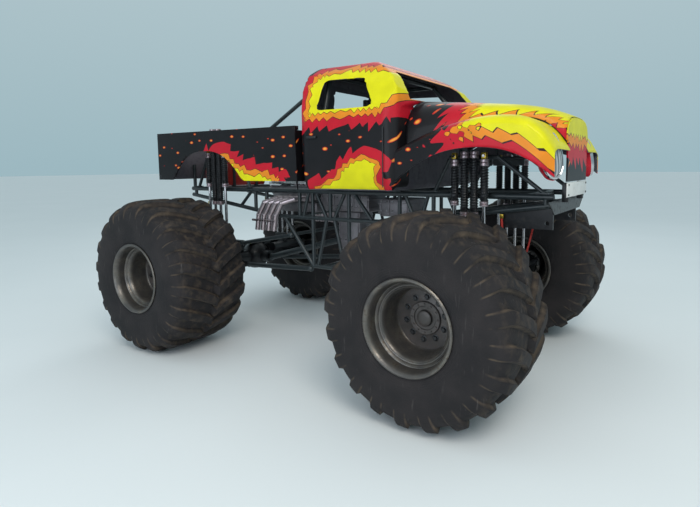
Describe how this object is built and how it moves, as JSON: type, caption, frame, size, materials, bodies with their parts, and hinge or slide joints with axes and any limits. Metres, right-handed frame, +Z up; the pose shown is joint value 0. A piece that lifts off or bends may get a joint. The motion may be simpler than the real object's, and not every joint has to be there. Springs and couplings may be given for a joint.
{
  "type": "monster truck",
  "caption": "Monster truck with a rounded 1940s style pickup body on a welded tube chassis, with steered axles at both ends and huge lugged tyres.",
  "frame": {"origin": "on the ground, halfway between the axles and on the middle plane", "axes": "+X forward, +Y to the left side, +Z up"},
  "size_m": [5.0288, 3.578, 3.0999],
  "materials": {
    "tyre_rubber": "worn black rubber with dried mud",
    "rim_steel": "worn rolled steel",
    "axle_paint": "satin black paint over cast and welded steel",
    "bright_steel": "ground and plated steel",
    "frame_paint": "dark slate paint on welded tube",
    "shock_body": "anodised black body with coil",
    "cast_alloy": "cast housing",
    "pipe_steel": "satin plated tube",
    "flame_paint": "gloss black with yellow, orange and red flames",
    "tank_paint": "gloss red",
    "trim_black": "dark trim and cloth"
  },
  "bodies": {
    "chassis": {"axle_front": "axle_paint", "axle_rear": "axle_paint", "links_front": "frame_paint", "links_rear": "frame_paint", "shocks_front": "shock_body", "shocks_rear": "shock_body", "drive_shafts": "frame_paint", "engine": "axle_paint", "gearbox": "cast_alloy", "exhaust_pipes": "pipe_steel", "top_rails": "frame_paint", "lower_rails": "frame_paint", "belly_rails": "frame_paint", "chassis_braces": "frame_paint", "cross_members": "frame_paint", "front_towers": "frame_paint", "rear_towers": "frame_paint", "roll_cage": "frame_paint", "cage_stays": "frame_paint", "front_bumper": "frame_paint", "cab_shell": "flame_paint", "hood": "flame_paint", "nose_panel": "flame_paint", "front_fender_left": "flame_paint", "front_fender_right": "flame_paint", "bed_side_left": "flame_paint", "bed_side_right": "flame_paint", "tailgate": "flame_paint", "bed_front_wall": "flame_paint", "fuel_cell": "tank_paint", "seat": "trim_black", "steering_wheel": "trim_black"},
    "knuckle_front_left": {"knuckle_front_left": "axle_paint"},
    "wheel_front_left": {"tyre_front_left": "tyre_rubber", "rim_front_left": "rim_steel"},
    "knuckle_front_right": {"knuckle_front_right": "axle_paint"},
    "wheel_front_right": {"tyre_front_right": "tyre_rubber", "rim_front_right": "rim_steel"},
    "tie_rod_front": {"tie_rod_front": "axle_paint"},
    "ram_rod_front": {"ram_rod_front": "bright_steel"},
    "knuckle_rear_left": {"knuckle_rear_left": "axle_paint"},
    "wheel_rear_left": {"tyre_rear_left": "tyre_rubber", "rim_rear_left": "rim_steel"},
    "knuckle_rear_right": {"knuckle_rear_right": "axle_paint"},
    "wheel_rear_right": {"tyre_rear_right": "tyre_rubber", "rim_rear_right": "rim_steel"},
    "tie_rod_rear": {"tie_rod_rear": "axle_paint"},
    "ram_rod_rear": {"ram_rod_rear": "bright_steel"}
  },
  "joints": [
    {"name": "steer_front_left", "type": "hinge", "parent": "chassis", "child": "knuckle_front_left", "pos_m": [1.6765, 0.97, 0.838], "axis": [0, 0, 1], "range_deg": [-25, 25]},
    {"name": "roll_front_left", "type": "hinge", "parent": "knuckle_front_left", "child": "wheel_front_left", "pos_m": [1.6765, 1.324, 0.838], "axis": [0, 1, 0], "continuous": true},
    {"name": "steer_front_right", "type": "hinge", "parent": "chassis", "child": "knuckle_front_right", "pos_m": [1.6765, -0.97, 0.838], "axis": [0, 0, 1], "range_deg": [-25, 25]},
    {"name": "roll_front_right", "type": "hinge", "parent": "knuckle_front_right", "child": "wheel_front_right", "pos_m": [1.6765, -1.324, 0.838], "axis": [0, 1, 0], "continuous": true},
    {"name": "tie_rod_pivot_front", "type": "hinge", "parent": "knuckle_front_left", "child": "tie_rod_front", "pos_m": [1.8765, 0.97, 0.944], "axis": [0, 0, 1], "range_deg": [-25, 25]},
    {"name": "ram_slide_front", "type": "slide", "parent": "chassis", "child": "ram_rod_front", "axis": [0, 1, 0], "range_m": [-0.08502, 0.08502]},
    {"name": "steer_rear_left", "type": "hinge", "parent": "chassis", "child": "knuckle_rear_left", "pos_m": [-1.6765, 0.97, 0.838], "axis": [0, 0, 1], "range_deg": [-20, 20]},
    {"name": "roll_rear_left", "type": "hinge", "parent": "knuckle_rear_left", "child": "wheel_rear_left", "pos_m": [-1.6765, 1.324, 0.838], "axis": [0, 1, 0], "continuous": true},
    {"name": "steer_rear_right", "type": "hinge", "parent": "chassis", "child": "knuckle_rear_right", "pos_m": [-1.6765, -0.97, 0.838], "axis": [0, 0, 1], "range_deg": [-20, 20]},
    {"name": "roll_rear_right", "type": "hinge", "parent": "knuckle_rear_right", "child": "wheel_rear_right", "pos_m": [-1.6765, -1.324, 0.838], "axis": [0, 1, 0], "continuous": true},
    {"name": "tie_rod_pivot_rear", "type": "hinge", "parent": "knuckle_rear_left", "child": "tie_rod_rear", "pos_m": [-1.8765, 0.97, 0.944], "axis": [0, 0, 1], "range_deg": [-20, 20]},
    {"name": "ram_slide_rear", "type": "slide", "parent": "chassis", "child": "ram_rod_rear", "axis": [0, 1, 0], "range_m": [-0.0689, 0.0689]}
  ],
  "couplings": [
    {"joint": "steer_front_right", "follows": "steer_front_left", "ratio": 1},
    {"joint": "tie_rod_pivot_front", "follows": "steer_front_left", "ratio": -1},
    {"joint": "ram_slide_front", "follows": "steer_front_left", "m_per_rad": -0.19371},
    {"joint": "steer_rear_right", "follows": "steer_rear_left", "ratio": 1},
    {"joint": "tie_rod_pivot_rear", "follows": "steer_rear_left", "ratio": -1},
    {"joint": "ram_slide_rear", "follows": "steer_rear_left", "m_per_rad": 0.19596}
  ]
}
